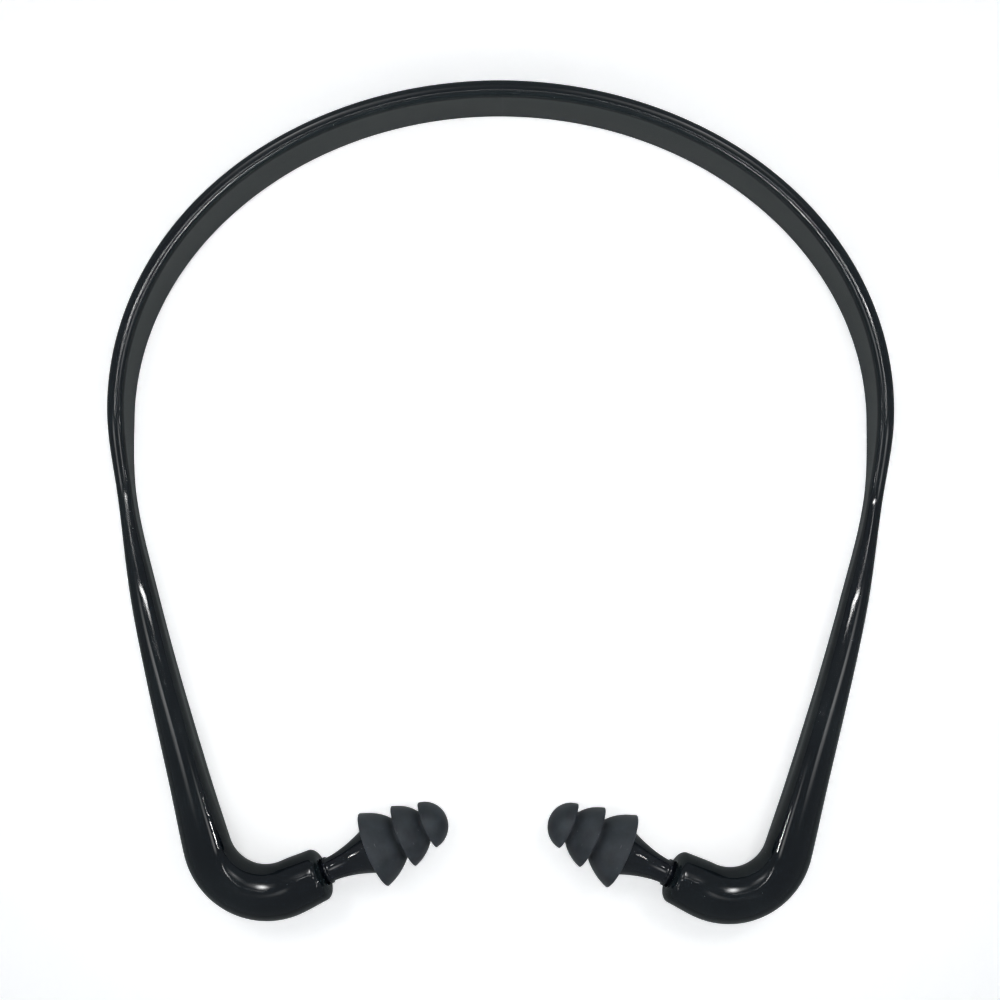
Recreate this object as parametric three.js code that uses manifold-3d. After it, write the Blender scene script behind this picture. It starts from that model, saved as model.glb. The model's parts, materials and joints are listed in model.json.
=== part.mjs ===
// Banded hearing protector: a springy U-shaped plastic band whose two elbows each hold a plug,
// and each plug is a glossy stem with a soft triple-flange ear tip pushed over its barbed peg.
// Millimetres. The band lies on its lower edge: +X to the right, +Y to the crown, +Z up.
import * as THREE from "three";
import { mergeVertices } from "three/addons/utils/BufferGeometryUtils.js";
import Module from "manifold-3d";

const wasm = await Module();
wasm.setup();

// ---- Centre line of the band, seen from above ----
const CROWN_HALF_SPAN = 73.8; // the crown follows half an ellipse: its half-axis across
const CROWN_RISE = 61.7; // and its half-axis from the widest point to the crown
const ARM_DROP = 84.4; // along Y, from the widest point to the start of the elbow
const ARM_INSET = 16.9; // how far the arm comes in over that drop
const ARM_LEAN = 15.4; // degrees that the arm leans in where it meets the elbow
const ARM_UPPER_PULL = 18; // how long the arm holds its first direction
const ARM_LOWER_PULL = 39; // and its last one
const ELBOW_RADIUS = 11.9; // of the centre line round the elbow
const SOCKET_RISE = 25; // degrees that a plug points back up towards the crown
const SOCKET_LENGTH = 7.2; // of the straight socket, from the elbow to its mouth

// ---- Cross-section of the band: thickness in the band's plane, width along Z ----
const STRIP_THICKNESS = 3.2;
const STRIP_WIDTH = 15.0;
const STRIP_CORNER = 1.0; // rounding of the crown's four long edges
const TEMPLE_WIDTH = 9.8; // where the band is widest across
const WAIST_DROP = 16; // below the widest point, where the strip has become a thin oval rod
const WAIST_THICKNESS = 2.9;
const WAIST_WIDTH = 5.2;
const SHIN_DROP = 36; // where the rod has begun to swell
const SHIN_THICKNESS = 4.9;
const SHIN_WIDTH = 6.6;
const KNEE_DROP = 72;
const KNEE_THICKNESS = 7.4;
const KNEE_WIDTH = 8.6;
const ANKLE_DIAMETER = 9.2; // where the arm runs into the elbow
const ELBOW_DIAMETER = 10.9; // where the elbow has become the socket
const SOCKET_DIAMETER = 10.2; // at the socket's mouth
const RIM_DEPTH = 1.5; // rounding of the socket's rim, along the plug
const RIM_LIP = 0.45; // flat ring left between the rounding and the bore
const LEAST_FLAT = 0.3; // a round section keeps this much flat on each side

// ---- Where the band is parted, so that each arm can spring outwards ----
const SPLIT_ANGLE = 38; // degrees round the crown's ellipse from its middle
const GAP = 0.3; // between pieces that touch

// ---- Stem: shank in the socket, collar, flare, and peg in the tip ----
const NECK_DIAMETER = 4.7;
const SHANK_LENGTH = 8.5; // inside the socket
const SHANK_CLEARANCE = 0.3; // on the radius
const CHAMFER = 0.5; // on the ends of the shank and the peg
const BEAD_DEPTH = 4.6; // middle of the snap bead below the mouth
const BEAD_WIDTH = 1.2;
const BEAD_HEIGHT = 0.55; // above the shank
const COLLAR_HEIGHT = 0.3; // above the neck
const COLLAR_START = 0.3; // clear of the mouth
const COLLAR_WIDTH = 0.9;
const STEM_REACH = 10.3; // from the mouth to the rim of the widest flange
const FLARE_DIAMETER = 9.6; // of the front face that the tip seats on
const FLARE_POWER = 1.7; // how late the stem flares out
const PEG_DIAMETER = 3.8;
const PEG_LENGTH = 8.4;
const BARB_COUNT = 2;
const BARB_LENGTH = 1.8;
const BARB_HEIGHT = 0.45; // above the peg
const BARB_EDGE = 0.3; // along the peg, up to the barb's top

// ---- Ear tip: three umbrella flanges on a core, the front one a closed dome ----
const FLANGE_DIAMETERS = [14.8, 12.4, 9.3];
const FLANGE_PLACES = [0, 6.7, 11.8]; // of each rim, from the widest flange's rim
const FLANGE_CAP_HEIGHTS = [7.0, 5.4, 4.0]; // of the quarter ellipse behind each rim
const FLANGE_HOLLOWS = [1.8, 1.5, 1.1]; // depth under each flange
const FLANGE_EDGE = 0.45; // skirt thickness at the rim
const FLANGE_ROOT = 0.9; // skirt thickness at the bottom of its hollow
const BORE_CLEARANCE = 0.2; // round the barbs, on the radius
const BORE_SPARE = 0.5; // past the end of the peg
const CORE_WALLS = [1.45, 0.65]; // round the bore, between the flanges

// ---- Fineness of the facets ----
const CROWN_FACETS = 27; // odd, so that one facet is centred on the crown
const ARM_STEP = 3.1;
const ARC_POINTS = 5; // round each corner of a section
const RIM_STEPS = 4;
const FLARE_STEPS = 7;
const CAP_STEPS = 5;
const LATHE_SIDES = 20;

const BAND_COLOUR = 0x14191b;
const STEM_COLOUR = 0x191c24;
const TIP_COLOUR = 0x34383f;

const rad = THREE.MathUtils.degToRad;

// ---- Solids ----

/** Drops all but the positions, joins shared corners and leaves out faces of no area. */
function welded(geometry) {
  const bare = geometry.clone();
  bare.deleteAttribute("normal");
  bare.deleteAttribute("uv");
  const merged = mergeVertices(bare, 1e-4);
  const corners = merged.index.array;
  const kept = [];
  for (let i = 0; i < corners.length; i += 3) {
    const [a, b, c] = corners.subarray(i, i + 3);
    if (a !== b && b !== c && c !== a) kept.push(a, b, c);
  }
  merged.setIndex(kept);
  return merged;
}

/** A closed geometry as a manifold solid. */
function solid(geometry) {
  const closed = welded(geometry);
  return new wasm.Manifold(
    new wasm.Mesh({
      numProp: 3,
      vertProperties: new Float32Array(closed.attributes.position.array),
      triVerts: new Uint32Array(closed.index.array),
    }),
  );
}

/** A manifold solid as a geometry. */
function geometryOf(made) {
  const mesh = made.getMesh();
  return new THREE.BufferGeometry()
    .setAttribute("position", new THREE.BufferAttribute(mesh.vertProperties, 3))
    .setIndex(new THREE.BufferAttribute(mesh.triVerts, 1));
}

/** A profile of [radius, height] pairs turned round the Y axis, given from the bottom up. */
function turned(profile) {
  const points = profile.map(([radius, height]) => new THREE.Vector2(radius, height));
  return new THREE.LatheGeometry(points, LATHE_SIDES);
}

/** A value at s along rows of [s, value], on a smooth curve with no bump at a row. */
function along(rows, s) {
  const rise = (i) => (rows[i + 1][1] - rows[i][1]) / (rows[i + 1][0] - rows[i][0]);
  const slope = (i) => {
    if (i === 0 || i === rows.length - 1) return 0;
    const [before, after] = [rise(i - 1), rise(i)];
    return before * after > 0 ? (2 * before * after) / (before + after) : 0;
  };
  const last = rows.length - 2;
  let i = rows.findIndex((row, k) => k <= last && s <= rows[k + 1][0]);
  if (i < 0) i = last;
  const span = rows[i + 1][0] - rows[i][0];
  const t = THREE.MathUtils.clamp((s - rows[i][0]) / span, 0, 1);
  const back = 1 - t;
  return (
    rows[i][1] * back * back * (1 + 2 * t) +
    rows[i + 1][1] * t * t * (3 - 2 * t) +
    slope(i) * span * t * back * back -
    slope(i + 1) * span * t * t * back
  );
}

// ---- Centre line ----

const leaning = (degrees) =>
  new THREE.Vector2(-Math.sin(rad(degrees)), -Math.cos(rad(degrees)));
const elbowStart = new THREE.Vector2(CROWN_HALF_SPAN - ARM_INSET, -ARM_DROP);
const armHeading = leaning(ARM_LEAN);
const elbowCentre = new THREE.Vector2(armHeading.y, -armHeading.x)
  .multiplyScalar(ELBOW_RADIUS)
  .add(elbowStart);
const plugHeading = leaning(90 + SOCKET_RISE);

/** The right half of the centre line: crown, arm, elbow and socket, from the middle of the crown. */
function centreLine() {
  const line = new THREE.CurvePath();
  line.add(new THREE.EllipseCurve(0, 0, CROWN_HALF_SPAN, CROWN_RISE, Math.PI / 2, 0, true));
  line.add(
    new THREE.CubicBezierCurve(
      new THREE.Vector2(CROWN_HALF_SPAN, 0),
      new THREE.Vector2(CROWN_HALF_SPAN, -ARM_UPPER_PULL),
      elbowStart.clone().addScaledVector(armHeading, -ARM_LOWER_PULL),
      elbowStart,
    ),
  );
  const elbow = new THREE.EllipseCurve(
    elbowCentre.x, elbowCentre.y, ELBOW_RADIUS, ELBOW_RADIUS,
    rad(-ARM_LEAN), rad(-90 - SOCKET_RISE), true,
  );
  line.add(elbow);
  const elbowEnd = elbow.getPoint(1);
  const mouth = elbowEnd.clone().addScaledVector(plugHeading, SOCKET_LENGTH);
  line.add(new THREE.LineCurve(elbowEnd, mouth));
  return line;
}

const LINE = centreLine();
const [CROWN_END, ARM_END, ELBOW_END, LINE_END] = LINE.getCurveLengths();
const MOUTH = LINE.getPoint(1);
const SPLIT = new THREE.EllipseCurve(
  0, 0, CROWN_HALF_SPAN, CROWN_RISE, Math.PI / 2, rad(90 - SPLIT_ANGLE), true,
).getLength();

/** Where the centre line is at s from the middle of the crown, with the direction outwards there. */
function station(s) {
  const t = Math.min(Math.abs(s) / LINE_END, 1);
  const point = LINE.getPoint(t);
  const heading = LINE.getTangent(t);
  if (s < 0) {
    point.x *= -1;
    heading.y *= -1;
  }
  return { point, out: new THREE.Vector2(-heading.y, heading.x) };
}

// ---- Cross-section ----

const drop = (distance) => CROWN_END + distance;
const THICKNESS = [
  [0, STRIP_THICKNESS],
  [CROWN_END, STRIP_THICKNESS],
  [drop(WAIST_DROP), WAIST_THICKNESS],
  [drop(SHIN_DROP), SHIN_THICKNESS],
  [drop(KNEE_DROP), KNEE_THICKNESS],
  [ARM_END, ANKLE_DIAMETER],
  [ELBOW_END, ELBOW_DIAMETER],
  [LINE_END, SOCKET_DIAMETER],
];
const WIDTH = [
  [0, STRIP_WIDTH],
  [SPLIT, STRIP_WIDTH],
  [CROWN_END, TEMPLE_WIDTH],
  [drop(WAIST_DROP), WAIST_WIDTH],
  [drop(SHIN_DROP), SHIN_WIDTH],
  [drop(KNEE_DROP), KNEE_WIDTH],
  [ARM_END, ANKLE_DIAMETER],
  [ELBOW_END, ELBOW_DIAMETER],
  [LINE_END, SOCKET_DIAMETER],
];

/** Half thickness, half width and corner rounding at s, drawn in by inset. */
function sectionSize(s, inset = 0) {
  const at = Math.abs(s);
  const half = along(THICKNESS, at) / 2 - inset;
  const tall = along(WIDTH, at) / 2 - inset;
  const rounding = THREE.MathUtils.smoothstep(at, SPLIT, drop(WAIST_DROP));
  const roundest = Math.min(half, tall) - LEAST_FLAT / 2;
  return { half, tall, corner: THREE.MathUtils.lerp(STRIP_CORNER, roundest, rounding) };
}

/** The outline's [out, up] points: a rectangle with round corners, anticlockwise from below. */
function outline({ half, tall, corner }) {
  const points = [];
  for (let quarter = 0; quarter < 4; quarter++) {
    const acrossX = quarter === 0 || quarter === 3 ? 1 : -1;
    const acrossZ = quarter < 2 ? 1 : -1;
    for (let i = 0; i < ARC_POINTS; i++) {
      const angle = ((quarter + i / (ARC_POINTS - 1)) * Math.PI) / 2;
      points.push([
        acrossX * (half - corner) + corner * Math.cos(angle),
        acrossZ * (tall - corner) + corner * Math.sin(angle),
      ]);
    }
  }
  return points;
}

/** A closed bar along the centre line with one ring of corners at each {s, inset}. */
function bar(rings) {
  const sides = 4 * ARC_POINTS;
  const base = new THREE.CylinderGeometry(1, 1, 1, sides, rings.length - 1);
  const geometry = welded(base);
  const corners = geometry.attributes.position;
  const placed = rings.map(({ s, inset }) => ({
    ...station(s),
    points: outline(sectionSize(s, inset)),
  }));
  for (let i = 0; i < corners.count; i++) {
    const row = Math.round((0.5 - corners.getY(i)) * (rings.length - 1));
    const { point, out, points } = placed[row];
    const onAxis = Math.hypot(corners.getX(i), corners.getZ(i)) < 0.5;
    const turn = Math.atan2(corners.getZ(i), corners.getX(i)) / (2 * Math.PI);
    const [across, up] = onAxis ? [0, 0] : points[(Math.round(turn * sides) + sides) % sides];
    corners.setXYZ(i, point.x + out.x * across, point.y + out.y * across, up);
  }
  return geometry;
}

// ---- Pieces ----

/** The middle of the band, with a square-cut end on each side. */
function crown() {
  const end = SPLIT - GAP / 2;
  const rings = [];
  for (let i = 0; i <= CROWN_FACETS; i++) {
    rings.push({ s: THREE.MathUtils.lerp(-end, end, i / CROWN_FACETS), inset: 0 });
  }
  return bar(rings);
}

/** One side of the band, with its elbow and its socket bored for the stem. */
function arm() {
  const start = SPLIT + GAP / 2;
  const rimStart = LINE_END - RIM_DEPTH;
  const rimInset = SOCKET_DIAMETER / 2 - BORE - RIM_LIP;
  const steps = Math.round((rimStart - start) / ARM_STEP);
  const rings = [];
  for (let i = 0; i < steps; i++) {
    rings.push({ s: THREE.MathUtils.lerp(start, rimStart, i / steps), inset: 0 });
  }
  for (let i = 0; i <= RIM_STEPS; i++) {
    const angle = ((i / RIM_STEPS) * Math.PI) / 2;
    rings.push({
      s: rimStart + RIM_DEPTH * Math.sin(angle),
      inset: rimInset * (1 - Math.cos(angle)),
    });
  }
  const bore = turned(socketProfile()).applyMatrix4(plugMatrix());
  return geometryOf(solid(bar(rings)).subtract(solid(bore)));
}

/** Places a plug's own frame, whose +Y runs out of the socket, at the right-hand mouth. */
function plugMatrix() {
  return new THREE.Matrix4()
    .makeRotationZ(Math.atan2(-plugHeading.x, plugHeading.y))
    .setPosition(MOUTH.x, MOUTH.y, 0);
}

const NECK = NECK_DIAMETER / 2;
const BORE = NECK + SHANK_CLEARANCE;
const FLARE_FRONT = STEM_REACH + FLANGE_HOLLOWS[0] - GAP; // of the stem, where the tip seats

/** The socket's bore, with the groove that the snap bead clicks into. */
function socketProfile() {
  const floor = -SHANK_LENGTH - GAP;
  const groove = BEAD_WIDTH / 2 + GAP;
  const grooved = BORE + BEAD_HEIGHT;
  return [
    [0, floor],
    [BORE, floor],
    [BORE, -BEAD_DEPTH - groove - BEAD_HEIGHT],
    [grooved, -BEAD_DEPTH - groove],
    [grooved, -BEAD_DEPTH + groove],
    [BORE, -BEAD_DEPTH + groove + BEAD_HEIGHT],
    [BORE, RIM_DEPTH],
    [0, RIM_DEPTH],
  ];
}

/** The stem: shank and snap bead below the mouth, collar and flare above it, peg with barbs. */
function stem() {
  const bead = NECK + BEAD_HEIGHT;
  const collar = NECK + COLLAR_HEIGHT;
  const collarEnd = COLLAR_START + COLLAR_WIDTH;
  const profile = [
    [0, -SHANK_LENGTH],
    [NECK - CHAMFER, -SHANK_LENGTH],
    [NECK, -SHANK_LENGTH + CHAMFER],
    [NECK, -BEAD_DEPTH - BEAD_WIDTH / 2 - BEAD_HEIGHT],
    [bead, -BEAD_DEPTH - BEAD_WIDTH / 4],
    [bead, -BEAD_DEPTH + BEAD_WIDTH / 4],
    [NECK, -BEAD_DEPTH + BEAD_WIDTH / 2 + BEAD_HEIGHT],
    [NECK, COLLAR_START],
    [collar, COLLAR_START + COLLAR_HEIGHT / 2],
    [collar, collarEnd - COLLAR_HEIGHT / 2],
    [NECK, collarEnd],
  ];
  const flare = FLARE_DIAMETER / 2;
  for (let i = 1; i <= FLARE_STEPS; i++) {
    const t = i / FLARE_STEPS;
    profile.push([
      THREE.MathUtils.lerp(NECK, flare, t ** FLARE_POWER),
      THREE.MathUtils.lerp(collarEnd, FLARE_FRONT, t),
    ]);
  }
  const peg = PEG_DIAMETER / 2;
  const barb = peg + BARB_HEIGHT;
  const pitch = PEG_LENGTH / (BARB_COUNT + 0.5);
  profile.push([peg, FLARE_FRONT]);
  for (let i = 1; i <= BARB_COUNT; i++) {
    const foot = FLARE_FRONT + i * pitch - BARB_LENGTH / 2;
    profile.push([peg, foot], [barb, foot + BARB_EDGE], [peg, foot + BARB_LENGTH]);
  }
  profile.push([peg, FLARE_FRONT + PEG_LENGTH - CHAMFER]);
  profile.push([peg - CHAMFER, FLARE_FRONT + PEG_LENGTH]);
  profile.push([0, FLARE_FRONT + PEG_LENGTH]);
  return turned(profile);
}

/** Points of a flange's outer side from its rim until it is down to the radius stop. */
function flangeCap(index, stop) {
  const rim = FLANGE_DIAMETERS[index] / 2;
  const height = FLANGE_CAP_HEIGHTS[index];
  const last = Math.acos(stop / rim);
  const points = [];
  for (let i = 0; i <= CAP_STEPS; i++) {
    const angle = (last * i) / CAP_STEPS;
    const radius = i === CAP_STEPS ? stop : rim * Math.cos(angle);
    points.push([radius, STEM_REACH + FLANGE_PLACES[index] + height * Math.sin(angle)]);
  }
  return points;
}

/** The two points of the hollow under a flange, by its skirt: its floor, then its rim. */
function flangeHollow(index) {
  const rim = FLANGE_DIAMETERS[index] / 2;
  const place = STEM_REACH + FLANGE_PLACES[index];
  const depth = FLANGE_HOLLOWS[index];
  const outside = rim * Math.sqrt(1 - (depth / FLANGE_CAP_HEIGHTS[index]) ** 2);
  return [
    [outside - FLANGE_ROOT, place + depth],
    [rim - FLANGE_EDGE, place],
  ];
}

/** The ear tip: a blind bore for the peg, then flange after flange up to the closed dome. */
function tip() {
  const bore = PEG_DIAMETER / 2 + BARB_HEIGHT + BORE_CLEARANCE;
  const cores = CORE_WALLS.map((wall) => bore + wall);
  const seat = FLARE_FRONT + GAP;
  const boreEnd = FLARE_FRONT + PEG_LENGTH + BORE_SPARE;
  const profile = [
    [0, boreEnd],
    [bore, boreEnd],
    [bore, seat],
    ...flangeHollow(0),
    ...flangeCap(0, cores[0]),
    [cores[0], STEM_REACH + FLANGE_PLACES[1] + FLANGE_HOLLOWS[1]],
    ...flangeHollow(1),
    ...flangeCap(1, cores[1]),
    [cores[1], STEM_REACH + FLANGE_PLACES[2] + FLANGE_HOLLOWS[2]],
    ...flangeHollow(2),
    ...flangeCap(2, 0),
  ];
  return turned(profile);
}

// ---- Assembly ----

function piece(name, geometry, color, roughness) {
  const material = new THREE.MeshStandardMaterial({ color, roughness, metalness: 0 });
  const mesh = new THREE.Mesh(geometry, material);
  mesh.name = name;
  return mesh;
}

/** One arm with its plug. The left side is the right one mirrored across the middle. */
function side(word, mirror) {
  const half = new THREE.Group();
  half.scale.x = mirror;
  half.add(piece(`band_arm_${word}`, arm(), BAND_COLOUR, 0.22));
  const plug = new THREE.Group();
  plug.applyMatrix4(plugMatrix());
  plug.add(piece(`stem_${word}`, stem(), STEM_COLOUR, 0.25));
  plug.add(piece(`ear_tip_${word}`, tip(), TIP_COLOUR, 0.75));
  half.add(plug);
  return half;
}

const protector = new THREE.Group();
protector.add(piece("band_crown", crown(), BAND_COLOUR, 0.22));
protector.add(side("right", 1), side("left", -1));

// The origin is the middle of the footprint, on the surface that the part lies on.
const box = new THREE.Box3().setFromObject(protector, true);
const part = new THREE.Group();
protector.position.set(-(box.min.x + box.max.x) / 2, -(box.min.y + box.max.y) / 2, -box.min.z);
part.add(protector);

export default part;
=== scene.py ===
"""Banded hearing protector: the fine meshes, finishes, camera and light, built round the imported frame.

A springy U-shaped strip is moulded in one piece with an elbow at each end. Each elbow's socket holds a
glossy stem, and a soft ear tip with three umbrella flanges is pushed over the stem's barbed peg.
Metres, in the row frame: the band lies flat on z = 0, +X to its right arm and +Y to its crown. Sizes of
the pieces are given in millimetres, and MM turns them into metres where a mesh is made.
"""

import json
import logging
import math
from bisect import bisect_right
from dataclasses import dataclass, field
from enum import Enum
from functools import cached_property
from typing import Any

import bpy
from mathutils import Matrix, Vector


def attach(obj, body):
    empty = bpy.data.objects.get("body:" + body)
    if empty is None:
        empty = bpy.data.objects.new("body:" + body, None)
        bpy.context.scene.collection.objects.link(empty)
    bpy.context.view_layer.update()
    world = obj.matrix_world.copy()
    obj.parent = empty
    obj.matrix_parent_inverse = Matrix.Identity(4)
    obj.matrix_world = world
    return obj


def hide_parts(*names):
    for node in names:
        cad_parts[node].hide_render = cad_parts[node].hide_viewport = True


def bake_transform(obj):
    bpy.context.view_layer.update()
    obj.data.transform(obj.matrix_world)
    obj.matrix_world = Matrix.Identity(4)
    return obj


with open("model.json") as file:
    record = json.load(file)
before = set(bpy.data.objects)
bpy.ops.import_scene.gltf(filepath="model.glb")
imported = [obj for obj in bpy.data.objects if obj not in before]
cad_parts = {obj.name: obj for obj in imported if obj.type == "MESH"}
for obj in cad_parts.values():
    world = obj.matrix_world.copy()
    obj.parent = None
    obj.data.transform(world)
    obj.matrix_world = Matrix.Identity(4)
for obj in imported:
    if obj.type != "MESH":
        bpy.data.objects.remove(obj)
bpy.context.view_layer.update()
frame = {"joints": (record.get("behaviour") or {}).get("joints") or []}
MM = 0.001
LOG = logging.getLogger("hearing_protector")

# A pair of numbers, such as a place and the value there.
Row = tuple[float, float]
Colour = tuple[float, float, float, float]

# A Mix node's colour sockets, which can only be told from its other ones by number.
FIRST_COLOUR = 6
SECOND_COLOUR = 7
MIXED_COLOUR = 2
# Where a rounding drawn with three corners has its middle one, as a share of each side.
BEND_SHARE = 0.3


class Side(Enum):
    """The two mirrored sides of the protector. The value is the sign of X there."""

    RIGHT = 1
    LEFT = -1

    @property
    def word(self) -> str:
        """The side's name as the frame's bodies and nodes spell it."""
        return self.name.lower()

    def swivel(self) -> tuple[Vector, Vector]:
        """Finds the socket's mouth and the direction out of it on this side.

        Returns:
            The mouth's middle in metres, and the unit vector along the plug towards its ear tip.
        """
        joint = next(j for j in frame["joints"] if j["name"] == f"swivel_{self.word}")
        return Vector(joint["pos_m"]), Vector(joint["axis"]).normalized()


# ---------------------------------------------------------------------------------------------
# Helpers
# ---------------------------------------------------------------------------------------------


def linear(code: str) -> Colour:
    """Turns an sRGB hex colour into the linear colour that shaders take.

    Args:
        code: The colour as "#RRGGBB".

    Returns:
        Linear red, green and blue with an alpha of 1.
    """
    shares = [int(code[i : i + 2], 16) / 255 for i in (1, 3, 5)]
    red, green, blue = (c / 12.92 if c <= 0.04045 else ((c + 0.055) / 1.055) ** 2.4 for c in shares)
    return red, green, blue, 1.0


def add_node(
    tree: bpy.types.NodeTree,
    kind: str,
    settings: dict[str, Any] | None = None,
    inputs: dict[str | int, Any] | None = None,
) -> bpy.types.Node:
    """Adds a shader node with its settings, and fills or links its inputs.

    Args:
        tree: The node tree that takes the node.
        kind: The node's type, such as "ShaderNodeTexNoise".
        settings: Values for the node's own properties.
        inputs: A value, or another node's output socket, for each input by its name or number.

    Returns:
        The new node.
    """
    node = tree.nodes.new(kind)
    for name, value in (settings or {}).items():
        setattr(node, name, value)
    for name, value in (inputs or {}).items():
        if isinstance(value, bpy.types.NodeSocket):
            tree.links.new(value, node.inputs[name])
        else:
            node.inputs[name].default_value = value
    return node


def lerp(low: float, high: float, share: float) -> float:
    """The value that lies a share of the way from low to high."""
    return low + (high - low) * share


def smoothstep(value: float, low: float, high: float) -> float:
    """Rises from 0 at low to 1 at high, flat at both ends."""
    share = min(1.0, max(0.0, (value - low) / (high - low)))
    return share * share * (3 - 2 * share)


def along(rows: list[Row], s: float) -> float:
    """Reads a smooth curve through rows at s. It has no bump at a row and is flat at its two ends.

    Args:
        rows: Pairs of a place and the value there, in order of place.
        s: The place to read.

    Returns:
        The value at s.
    """

    def rise(i: int) -> float:
        """The straight slope between a row and the next one."""
        return (rows[i + 1][1] - rows[i][1]) / (rows[i + 1][0] - rows[i][0])

    def slope(i: int) -> float:
        """The curve's slope at a row."""
        if i in (0, len(rows) - 1):
            return 0.0
        before, after = rise(i - 1), rise(i)
        return 2 * before * after / (before + after) if before * after > 0 else 0.0

    i = next((k for k in range(len(rows) - 2) if s <= rows[k + 1][0]), len(rows) - 2)
    span = rows[i + 1][0] - rows[i][0]
    t = min(1.0, max(0.0, (s - rows[i][0]) / span))
    back = 1 - t
    return (
        rows[i][1] * back * back * (1 + 2 * t)
        + rows[i + 1][1] * t * t * (3 - 2 * t)
        + slope(i) * span * t * back * back
        - slope(i + 1) * span * t * t * back
    )


# ---------------------------------------------------------------------------------------------
# Meshes made ring by ring
# ---------------------------------------------------------------------------------------------


@dataclass
class RingMesh:
    """A closed surface made of rings of corners, with a note at each corner for the finish to read.

    Attributes:
        corners: Each corner in metres.
        places: Each corner's place in the piece's own straight space, in metres, which patterns follow.
        rubs: How much each corner sticks out to be rubbed, from 0 to 1.
        faces: The corners of each face, anticlockwise from outside.
    """

    corners: list[Vector] = field(default_factory=list)
    places: list[Vector] = field(default_factory=list)
    rubs: list[float] = field(default_factory=list)
    faces: list[tuple[int, ...]] = field(default_factory=list)

    def corner(self, point: Vector, place: Vector, rub: float = 0.0) -> int:
        """Adds one corner.

        Args:
            point: Its place in the row frame.
            place: Its place in the piece's own straight space.
            rub: How much it sticks out to be rubbed.

        Returns:
            The corner's number.
        """
        self.corners.append(point)
        self.places.append(place)
        self.rubs.append(rub)
        return len(self.corners) - 1

    def bridge(self, ring: list[int], following: list[int]) -> None:
        """Joins two rings with faces. A ring of one corner is a pole.

        Args:
            ring: The corners of the first ring.
            following: The corners of the ring after it.
        """
        count = max(len(ring), len(following))
        for i in range(count):
            j = (i + 1) % count
            if len(ring) == 1:
                self.faces.append((ring[0], following[i], following[j]))
            elif len(following) == 1:
                self.faces.append((ring[i], following[0], ring[j]))
            else:
                self.faces.append((ring[i], following[i], following[j], ring[j]))

    def piece(self, name: str, material: bpy.types.Material, mirrored: bool = False) -> bpy.types.Object:
        """Makes the smooth-shaded object.

        Args:
            name: The piece's name.
            material: The finish that it wears.
            mirrored: Whether the corners are a mirror image, so that each face has to be turned round.

        Returns:
            The object, linked to the scene.
        """
        mesh = bpy.data.meshes.new(name)
        faces = [tuple(reversed(face)) for face in self.faces] if mirrored else self.faces
        mesh.from_pydata(self.corners, [], faces)
        mesh.attributes.new("own_place", "FLOAT_VECTOR", "POINT").data.foreach_set(
            "vector", [value for place in self.places for value in place]
        )
        mesh.attributes.new("rub", "FLOAT", "POINT").data.foreach_set("value", self.rubs)
        mesh.shade_smooth()
        mesh.materials.append(material)
        made = bpy.data.objects.new(name, mesh)
        bpy.context.scene.collection.objects.link(made)
        return made


@dataclass(frozen=True)
class Lathe:
    """Turns a profile round a plug's axis.

    Attributes:
        side: The side that the plug is on.
        sides: How many corners a ring has.
    """

    side: Side
    sides: int = 72

    def turn(self, profile: list[Row], wobble: float = 0.0, lobes: int = 3) -> RingMesh:
        """Makes the turned surface.

        Args:
            profile: Pairs of a radius and a height above the socket's mouth, in millimetres, with the
                solid to the left of the line. It starts and ends on the axis.
            wobble: How far, as a share of the radius, the rings are out of round.
            lobes: How many lobes that has round the axis.

        Returns:
            The closed surface.
        """
        mouth, axis = self.side.swivel()
        up = Vector((0, 0, 1))
        across = axis.cross(up) * self.side.value
        mesh, rings = RingMesh(), []
        for radius, height in profile:
            ring = []
            for i in range(self.sides if radius else 1):
                angle = 2 * math.pi * i / self.sides
                reach = radius * (1 + wobble * math.sin(lobes * angle + height))
                x, z = reach * math.cos(angle), reach * math.sin(angle)
                point = mouth + (across * x + up * z + axis * height) * MM
                ring.append(mesh.corner(point, Vector((x, height, z)) * MM))
            rings.append(ring)
        for ring, following in zip(rings, rings[1:]):
            mesh.bridge(ring, following)
        return mesh


# ---------------------------------------------------------------------------------------------
# Finishes
# ---------------------------------------------------------------------------------------------


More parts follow.
